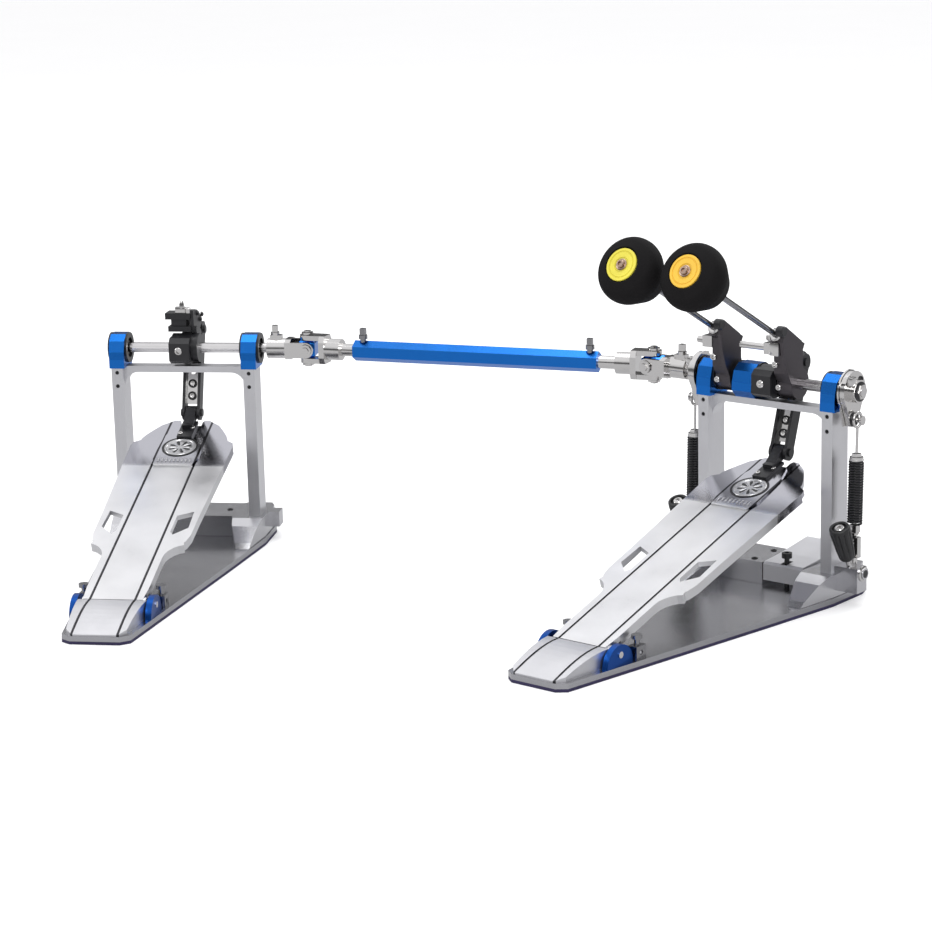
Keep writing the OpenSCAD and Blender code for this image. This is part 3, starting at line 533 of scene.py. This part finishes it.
def make_disc(side, x_mm, mat):
    """Dished disc with turned rings, and the copper screw in its middle."""
    place = beater_matrix(x_mm) @ moved(0, 0, HEAD_FACE - 2)
    rim = [(0, 0), (DISC_RADIUS, 0), (DISC_RADIUS, 1.6), (15.2, 2.1), (13.4, 2.1)]
    rings = [(13.0, 1.3), (12.2, 1.3), (11.8, 1.9), (7.4, 1.7), (7.0, 1.0), (0, 1.0)]
    bm = bmesh.new()
    add_turned(bm, place, rim + rings, 72)
    disc = make_piece(f"{side}_impact_disc", bm, mat, f"{side}_beater")
    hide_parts(f"{side}_beater_disc")
    bm = bmesh.new()
    washer = [(0, 1.3), (5.6, 1.3), (5.6, 2.0), (4.8, 2.4), (3.9, 2.4)]
    screw = [(3.9, 4.2), (3.4, 4.8), (2.0, 4.9), (1.7, 3.4), (0, 3.4)]
    add_turned(bm, place, washer + screw, 36)
    make_piece(f"{side}_disc_screw", bm, COPPER, f"{side}_beater")


# ---------------------------------------------------------------- springs

COIL_START, COIL_END = 17, 78          # along a spring from its anchor
COIL_RADIUS, COIL_WIRE = 6.3, 1.15
COIL_TURNS = 24
TURN_STEPS = 20
EYE_RADIUS, EYE_STEPS = 4.2, 24
RISE_STEPS = 6


def make_spring(side):
    """Close-wound coil whose wire runs down into the eye on the anchor's pin."""
    place = spring_matrix(side)
    points = []
    for i in range(EYE_STEPS + 1):
        t = math.radians(-170 + 340 * i / EYE_STEPS)
        points.append(place @ mm(0, EYE_RADIUS * math.sin(t), -EYE_RADIUS * math.cos(t)))
    points += [place @ mm(0, 0, z) for z in (6, 9, 12)]
    for i in range(1, RISE_STEPS + 1):
        z = COIL_START - (RISE_STEPS - i) / 2
        points.append(place @ mm(COIL_RADIUS * i / RISE_STEPS, 0, z))
    count = COIL_TURNS * TURN_STEPS
    for i in range(1, count + 1):
        z = COIL_START + (COIL_END - COIL_START - 1) * i / count
        points.append(place @ on_circle(COIL_RADIUS, z, i, TURN_STEPS))
    bm = bmesh.new()
    add_tube(bm, points, COIL_WIRE * MM, 8)
    spring = make_piece(f"{side}_coil", bm, WIRE, None)
    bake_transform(spring)
    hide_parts(f"{side}_spring")


# ---------------------------------------------------------------- knobs

KNOB_FLUTES = 10
FLUTE_STEPS = 8
FLUTE_DEPTH = 0.11                     # share of the knob's radius
FLUTE_LO, FLUTE_HI = 13, 45            # heights the flutes fade out at
SMOOTH_RADIUS = 7                      # within this the knob has no flutes


def make_knob(side):
    """Tapered moulded knob with fluted grip and a recessed socket screw in its top."""
    place = aimed(joint_place(f"{side}_knob_turn"), joint_axis(f"{side}_knob_turn"))
    foot = [(0, 10), (6, 10), (7.6, 12), (8.8, 22)]
    top = [(10.3, 43), (9.6, 47.5), (7, 47.8), (6.2, 44.6), (0, 44.6)]
    bm = bmesh.new()
    add_turned(bm, place, softened(foot + top, 2.0, 4), KNOB_FLUTES * FLUTE_STEPS)
    inverse = place.inverted()
    for vert in bm.verts:
        local = inverse @ vert.co
        radius = math.hypot(local.x, local.y)
        height = local.z / MM
        if radius < SMOOTH_RADIUS * MM:
            continue
        angle = math.atan2(local.y, local.x)
        wave = max(0.0, math.cos(KNOB_FLUTES * angle)) ** 2
        fade = max(0.0, min(1, (height - FLUTE_LO) / 3, (FLUTE_HI - height) / 2))
        scale = 1 - FLUTE_DEPTH * wave * fade
        vert.co = place @ Vector((local.x * scale, local.y * scale, local.z))
    knob = make_piece(f"{side}_grip", bm, PLASTIC, f"{side}_knob", 50)
    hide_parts(f"{side}_knob")
    bm = bmesh.new()
    add_turned(bm, place, [(0, -16), (2.6, -16), (3, -15), (3, 10.5), (0, 10.5)], 24)
    add_socket_screw(bm, place @ moved(0, 0, 44.4), 4.6, 3.0)
    make_piece(f"{side}_knob_stud", bm, CHROME, f"{side}_knob")


# ---------------------------------------------------------------- footboard details

BADGE_UP = 283                         # badge centre, up the footboard
BADGE_RADIUS = 16.8
BADGE_PETALS = 8
RIM_FROM, RIM_TO = 0.84, 0.97          # raised rim, as shares of the badge's radius


def badge_height(share, angle):
    """Height of the badge's face at a share of its radius: shallow petals inside a raised rim."""
    if share > RIM_TO:
        return 0.9
    if share > RIM_FROM:
        return 1.5
    reach = min(1, max(0, (share - 0.16) / 0.62))
    return 0.9 + 0.45 * math.cos(BADGE_PETALS * angle) * math.sin(math.pi * reach)


def make_badge(pedal, side):
    """Round badge with a plain rosette, and the dark ring it is set in."""
    steps, rings = 96, 30
    bm = bmesh.new()
    place = board_matrix(side) @ moved(0, BADGE_UP, 0.8)
    rows = []
    for k in range(rings + 1):
        share = k / rings
        row = []
        for i in range(steps if k else 1):
            height = badge_height(share, 2 * math.pi * i / steps)
            row.append(bm.verts.new(place @ on_circle(BADGE_RADIUS * share, height, i, steps)))
        rows.append(row)
    foot = [place @ on_circle(BADGE_RADIUS, 0.02, i, steps) for i in range(steps)]
    rows.append([bm.verts.new(spot) for spot in foot])
    skin_rings(bm, rows, steps)
    bm.faces.new(rows[-1])
    make_piece(f"{pedal}_badge", bm, BADGE, f"{pedal}_footboard", 25)
    inner, outer = BADGE_RADIUS + 0.1, BADGE_RADIUS + 2.2
    seat = [(0, 0), (outer, 0), (outer, 1.35), (inner, 1.35), (inner, 0.8), (0, 0.8)]
    bm = bmesh.new()
    add_turned(bm, place, seat, steps)
    make_piece(f"{pedal}_badge_seat", bm, BEARING, f"{pedal}_footboard")


RIBS_UP = 256                          # ribs' middle, up the footboard
RIB_PITCH = 4.2
RIBS_EACH_WAY = 4


def make_toe_ribs(pedal, side):
    """Row of plain raised ribs across the tongue, below the badge."""
    board = board_matrix(side)
    bm = bmesh.new()
    for i in range(-RIBS_EACH_WAY, RIBS_EACH_WAY + 1):
        add_block(bm, board @ moved(i * RIB_PITCH, RIBS_UP, 1.9), (1.6, 6, 1.4), 0.4)
    make_piece(f"{pedal}_toe_ribs", bm, BADGE, f"{pedal}_footboard")


WEB_MIDDLE = 0.5                       # of the link and the cam's arm, across the pedal
FOOT_TOP = 29.8                        # of a base's feet and beam, above the floor
LINK_HOLES = (17.5, 30.5)              # up the link from its lower pivot
ARM_LENGTH, ARM_ANGLE = 40, math.radians(18)


def make_pedal_screws(pedal, side):
    """Screws that hold a pedal's clevis, beam and drive cam."""
    board = board_matrix(side)
    bm = bmesh.new()
    for across, up in ((-5, 306), (5, 318)):
        add_socket_screw(bm, board @ moved(WEB_MIDDLE + across, up, 4.4), 2.3, 1.6)
    make_piece(f"{pedal}_clevis_screws", bm, CHROME, f"{pedal}_footboard")
    bm = bmesh.new()
    for x, y in ((-38, 5), (38, 5), (-14, -14), (-14, 20)):
        add_socket_screw(bm, side @ moved(x, y, FOOT_TOP), 3.2, 1.2)
    make_piece(f"{pedal}_beam_screws", bm, BLACK, "base")
    body = "right_axle" if pedal == "main" else "slave_axle"
    bm = bmesh.new()
    add_socket_screw(bm, facing(side, -3, -20.5, 0, FRONT), 3.9, 2.4)
    make_piece(f"{pedal}_cam_screw", bm, CHROME, body)


def make_link_screws(pedal, side):
    """Dark rings round the holes in a link's face, and the screws in them."""
    toe = joint_place("main_link_swing")
    arm = AXLE + mm(0, ARM_LENGTH * math.cos(ARM_ANGLE), ARM_LENGTH * math.sin(ARM_ANGLE))
    link = side @ aimed(toe, arm - toe)
    to_front = Matrix.Rotation(math.radians(90), 4, "X")
    holes = [link @ moved(WEB_MIDDLE, -1.7, up) @ to_front for up in LINK_HOLES]
    ring = [(0, 0.1), (4.6, 0.1), (4.6, 1.0), (3.9, 1.3), (3.9, 0.4), (0, 0.4)]
    bm = bmesh.new()
    for hole in holes:
        add_turned(bm, hole, ring, 30)
    make_piece(f"{pedal}_link_rings", bm, BLACK, f"{pedal}_link")
    bm = bmesh.new()
    for hole in holes:
        add_socket_screw(bm, hole, 2.9, 1.6)
    make_piece(f"{pedal}_link_screws", bm, CHROME, f"{pedal}_link")


# ---------------------------------------------------------------- ends of the main pedal

GUARD_RADIUS = 20
GUARD_X = (80.8, 82.6)                 # the guard plate's two faces, along the axle
ROCKER_FACE = 87.9                     # a rocker's outer face, along the axle
BOSS_Y, BOSS_Z = -7, 32                # boss on a bracket, from the floor below the axle


def make_rocker_details(side, sign):
    """Guard plate behind a rocker, the rocker's clamp screw and block, and its dark washers."""
    body = f"{side}_axle"
    out = (sign, 0, 0)
    axle = Matrix.Translation((0, 0, AXLE.z))
    front = []
    for i in range(19):
        angle = math.radians(70 + 145 * i / 18)
        front.append((GUARD_RADIUS * math.cos(angle), GUARD_RADIUS * math.sin(angle)))
    tail = [(-12.5, -24), (-10.5, -33), (-5, -33.5), (-4, -22), (6, -14)]
    bm = bmesh.new()
    add_plate(bm, axle, *sorted(sign * x for x in GUARD_X), front + tail)
    make_piece(f"{side}_rocker_guard", bm, CHROME, body)
    washer = [(0, 0), (6.6, 0), (6.6, 1.4), (0, 1.4)]
    ring = [(0, 0), (3.6, 0), (3.6, 0.9), (2.8, 1.0), (2.6, 0.3), (0, 0.3)]
    cap = [(0, 0), (9.4, 0), (9.4, 1.0), (8.6, 1.3), (0, 1.3)]
    bm = bmesh.new()
    add_turned(bm, facing(MAIN, sign * ROCKER_FACE, -1, -27, out), washer, 36)
    add_turned(bm, facing(MAIN, sign * ROCKER_FACE, 10, 9, out), ring, 30)
    add_turned(bm, facing(MAIN, sign * 93.6, 0, 0, out), cap, 36)
    make_piece(f"{side}_rocker_washers", bm, BLACK, body)
    bm = bmesh.new()
    add_bolt(bm, facing(MAIN, sign * 88, -11, 12, out), 3.0, 2.6)
    add_block(bm, axle @ moved(sign * 91, -10, 11), (5, 9, 8), 1.0)
    make_piece(f"{side}_rocker_bolt", bm, CHROME, body)


def make_boss_rings(side, sign):
    """Washer round the boss on a bracket's outer face, and the dark middle of the boss."""
    out = (sign, 0, 0)
    above_axle = BOSS_Z - AXLE.z / MM
    washer = [(0, 0), (7.6, 0), (7.6, 1.2), (7.0, 1.6), (0, 1.6)]
    bm = bmesh.new()
    add_turned(bm, facing(MAIN, sign * 102.9, BOSS_Y, above_axle, out), washer, 36)
    make_piece(f"{side}_boss_washer", bm, CHROME, "base")
    recess = [(0, 0), (3.8, 0), (3.8, 0.4), (0, 0.4)]
    bm = bmesh.new()
    add_turned(bm, facing(MAIN, sign * 105.8, BOSS_Y, above_axle, out), recess, 36)
    make_piece(f"{side}_boss_recess", bm, BLACK, "base")


def make_spring_ends(side):
    """Bright block at the coil's lower end, cap and six-sided nut at its upper end."""
    place = spring_matrix(side)
    bm = bmesh.new()
    add_block(bm, place @ moved(0, 0, 12), (8.4, 8.4, 8), 1.2)
    add_turned(bm, place, [(0, 5.5), (3.6, 5.5), (4.6, 8.2), (0, 8.2)], 24)
    make_piece(f"{side}_coil_seat", bm, CHROME, f"{side}_spring_lower")
    bm = bmesh.new()
    add_turned(bm, place, [(0, 77.4), (6.9, 77.4), (6.9, 78.6), (4.4, 79.4), (0, 79.4)], 36)
    nut = [(0, 79.2), (4.6, 79.2), (5.3, 79.9), (5.3, 83.4), (4.6, 84.1), (0, 84.1)]
    add_turned(bm, place, nut, 6)
    make_piece(f"{side}_hook_nut", bm, CHROME, f"{side}_spring_upper")


def make_holder_details(side, x_mm):
    """Black cap on a holder's upper corner, collar round the beater shaft, and two screws."""
    body = f"{side}_axle"
    cap = [(0, 0), (4.4, 0), (5.2, 1), (5.2, 7), (4.2, 8), (0, 8)]
    bm = bmesh.new()
    add_turned(bm, facing(MAIN, x_mm + 3, -28.5, 54.5, (1, 0, 0)), cap, 36)
    make_piece(f"{side}_holder_cap", bm, BLACK, body)
    bm = bmesh.new()
    collar = [(3.0, 45.5), (6.4, 45.5), (6.4, 48.5), (5.2, 50), (3.0, 50)]
    add_turned(bm, beater_matrix(x_mm), collar, 36)
    add_socket_screw(bm, facing(MAIN, x_mm - 4.5, -20.8, 20.4, FRONT), 3.2, 2.2)
    add_socket_screw(bm, facing(MAIN, x_mm - 4.5, -14.2, -2.5, FRONT), 3.0, 2.6)
    make_piece(f"{side}_holder_screws", bm, CHROME, body)


def make_clamp_block():
    """Bright square block that the right holder's handle bar screws through."""
    bm = bmesh.new()
    place = Matrix.Translation(AXLE + mm(HOLDER_X["right"], -27.5, 36.8))
    add_block(bm, place, (11, 7, 12.6), 1.4)
    add_socket_screw(bm, facing(MAIN, 7.5, -22, 46, FRONT), 3.0, 2.4)
    make_piece("right_clamp_block", bm, CHROME, "right_axle")


def make_spare_clamp():
    """Bright clamp piece and screws on top of the slave pedal's spare beater holder."""
    place = SLAVE @ Matrix.Translation((0, 0, AXLE.z))
    stud = [(0, 0), (2.6, 0), (2.6, 4), (1.4, 7.5), (0, 8)]
    screw = [(0, 0), (3.0, 0), (3.0, 5), (2.2, 6), (0, 6)]
    bm = bmesh.new()
    add_block(bm, place @ moved(-3.5, -2.4, 40), (11, 5, 7), 1.2)
    add_turned(bm, place @ moved(-2, -2.5, 42), stud, 24)
    add_turned(bm, place @ moved(4.5, -2.5, 36.5), screw, 24)
    make_piece("spare_clamp", bm, CHROME, "slave_axle")
    bm = bmesh.new()
    for y, z in ((12, 34), (22, 26), (29, 30)):
        add_bolt(bm, facing(SLAVE, 10, y, z, (1, 0, 0)), 2.2, 2.4)
    make_piece("spare_holder_bolts", bm, BLACK, "slave_axle")


BEATERS = (("right", 1, ORANGE, "orange_disc"), ("left", -1, YELLOW, "yellow_disc"))

dress_nodes()
for side, sign, mat, slot in BEATERS:
    x_mm = HOLDER_X[side]
    make_head(side, x_mm)
    make_disc(side, x_mm, mat)
    make_spring(side)
    make_spring_ends(side)
    make_boss_rings(side, sign)
    make_knob(side)
    make_holder_details(side, x_mm)
    make_rocker_details(side, sign)
for pedal, side in (("main", MAIN), ("slave", SLAVE)):
    make_badge(pedal, side)
    make_toe_ribs(pedal, side)
    make_pedal_screws(pedal, side)
    make_link_screws(pedal, side)
make_clamp_block()
make_spare_clamp()

# ---------------------------------------------------------------- studio and camera

CAMERA_AZIMUTH = math.radians(39.89)
CAMERA_ELEVATION = math.radians(13.54)
CAMERA_ROLL = math.radians(-1.41)
CAMERA_DISTANCE = 2.5797
CAMERA_LENS = 103.47
CAMERA_AIM = Vector((0, 0, 0.1))
CAMERA_SLIDE = (-0.2976, 0.02045)      # from the aim point, along the picture's own x and y


def make_camera():
    a, e = CAMERA_AZIMUTH, CAMERA_ELEVATION
    back = Vector((math.sin(a) * math.cos(e), -math.cos(a) * math.cos(e), math.sin(e)))
    right = Vector((math.cos(a), math.sin(a), 0))
    up = back.cross(right)
    right, up = (right * math.cos(CAMERA_ROLL) + up * math.sin(CAMERA_ROLL),
                 up * math.cos(CAMERA_ROLL) - right * math.sin(CAMERA_ROLL))
    data = bpy.data.cameras.new("camera")
    data.sensor_width = 36
    data.lens = CAMERA_LENS
    data.clip_end = 50
    camera = bpy.data.objects.new("camera", data)
    bpy.context.collection.objects.link(camera)
    place = CAMERA_AIM + right * CAMERA_SLIDE[0] + up * CAMERA_SLIDE[1] + back * CAMERA_DISTANCE
    turned = Matrix((right, up, back)).transposed().to_4x4()
    camera.matrix_world = Matrix.Translation(place) @ turned
    bpy.context.scene.camera = camera


FLOOR_HALF = 12                        # metres


def make_floor():
    """Pale floor that runs far out; dimmer in reflections, so that metals keep some contrast."""
    mesh = bpy.data.meshes.new("floor")
    corners = [(x * FLOOR_HALF, y * FLOOR_HALF, 0) for x, y in ((-1, -1), (1, -1), (1, 1), (-1, 1))]
    mesh.from_pydata(corners, [], [(0, 1, 2, 3)])
    floor = bpy.data.objects.new("floor", mesh)
    bpy.context.collection.objects.link(floor)
    mat, nodes, links, bsdf = new_material("floor_pale")
    coord = nodes.new("ShaderNodeTexCoord").outputs["Object"]
    patches = noise(nodes, links, coord, 3)
    pale = mixed(nodes, links, patches, (0.95, 0.95, 0.955), (0.97, 0.97, 0.975))
    in_reflection = nodes.new("ShaderNodeLightPath").outputs["Is Glossy Ray"]
    shade = mixed(nodes, links, in_reflection, pale, (0.42, 0.42, 0.43))
    links.new(shade, bsdf.inputs["Base Color"])
    bsdf.inputs["Roughness"].default_value = 0.8
    bsdf.inputs["Specular IOR Level"].default_value = 0.2
    floor.data.materials.append(mat)


def make_world():
    """Near white to the camera; to reflections, bright above with a dark band low down."""
    world = bpy.data.worlds.new("studio")
    bpy.context.scene.world = world
    world.use_nodes = True
    nodes, links = world.node_tree.nodes, world.node_tree.links
    background = nodes["Background"]
    coord = nodes.new("ShaderNodeTexCoord").outputs["Generated"]
    split = nodes.new("ShaderNodeSeparateXYZ")
    links.new(coord, split.inputs[0])
    ramp = nodes.new("ShaderNodeValToRGB")
    stops = ((0.0, 0.30), (0.10, 0.12), (0.24, 0.10), (0.34, 0.75), (0.62, 1.0), (1.0, 1.0))
    elements = ramp.color_ramp.elements
    while len(elements) < len(stops):
        elements.new(0.5)
    for element, (position, grey) in zip(elements, stops):
        element.position = position
        element.color = (grey, grey, grey * 1.02, 1)
    links.new(split.outputs["Z"], ramp.inputs["Fac"])
    rays = nodes.new("ShaderNodeLightPath").outputs
    seen = mixed(nodes, links, rays["Is Camera Ray"], ramp.outputs["Color"], (0.98, 0.98, 0.98))
    even = mixed(nodes, links, rays["Is Diffuse Ray"], seen, (1.06, 1.06, 1.06))
    links.new(even, background.inputs["Color"])
    background.inputs["Strength"].default_value = 1.0


def add_softbox(name, place, width, height, power):
    data = bpy.data.lights.new(name, "AREA")
    data.shape = "RECTANGLE"
    data.size = width
    data.size_y = height
    data.energy = power
    light = bpy.data.objects.new(name, data)
    bpy.context.collection.objects.link(light)
    light.matrix_world = aimed(Vector(place), Vector(place) - LIGHTS_AIM)


LIGHTS_AIM = Vector((-0.3, -0.2, 0.12))


def make_lights():
    add_softbox("key", (1.6, -2.4, 2.2), 1.2, 1.2, 34)
    add_softbox("left", (-2.6, -1.4, 1.4), 0.8, 1.8, 16)
    add_softbox("top", (-0.3, 0.2, 2.8), 2.2, 2.2, 26)
    add_softbox("rear", (0.4, 2.6, 1.8), 1.2, 1.2, 14)


bpy.context.scene.view_settings.view_transform = "Standard"
make_camera()
make_floor()
make_world()
make_lights()
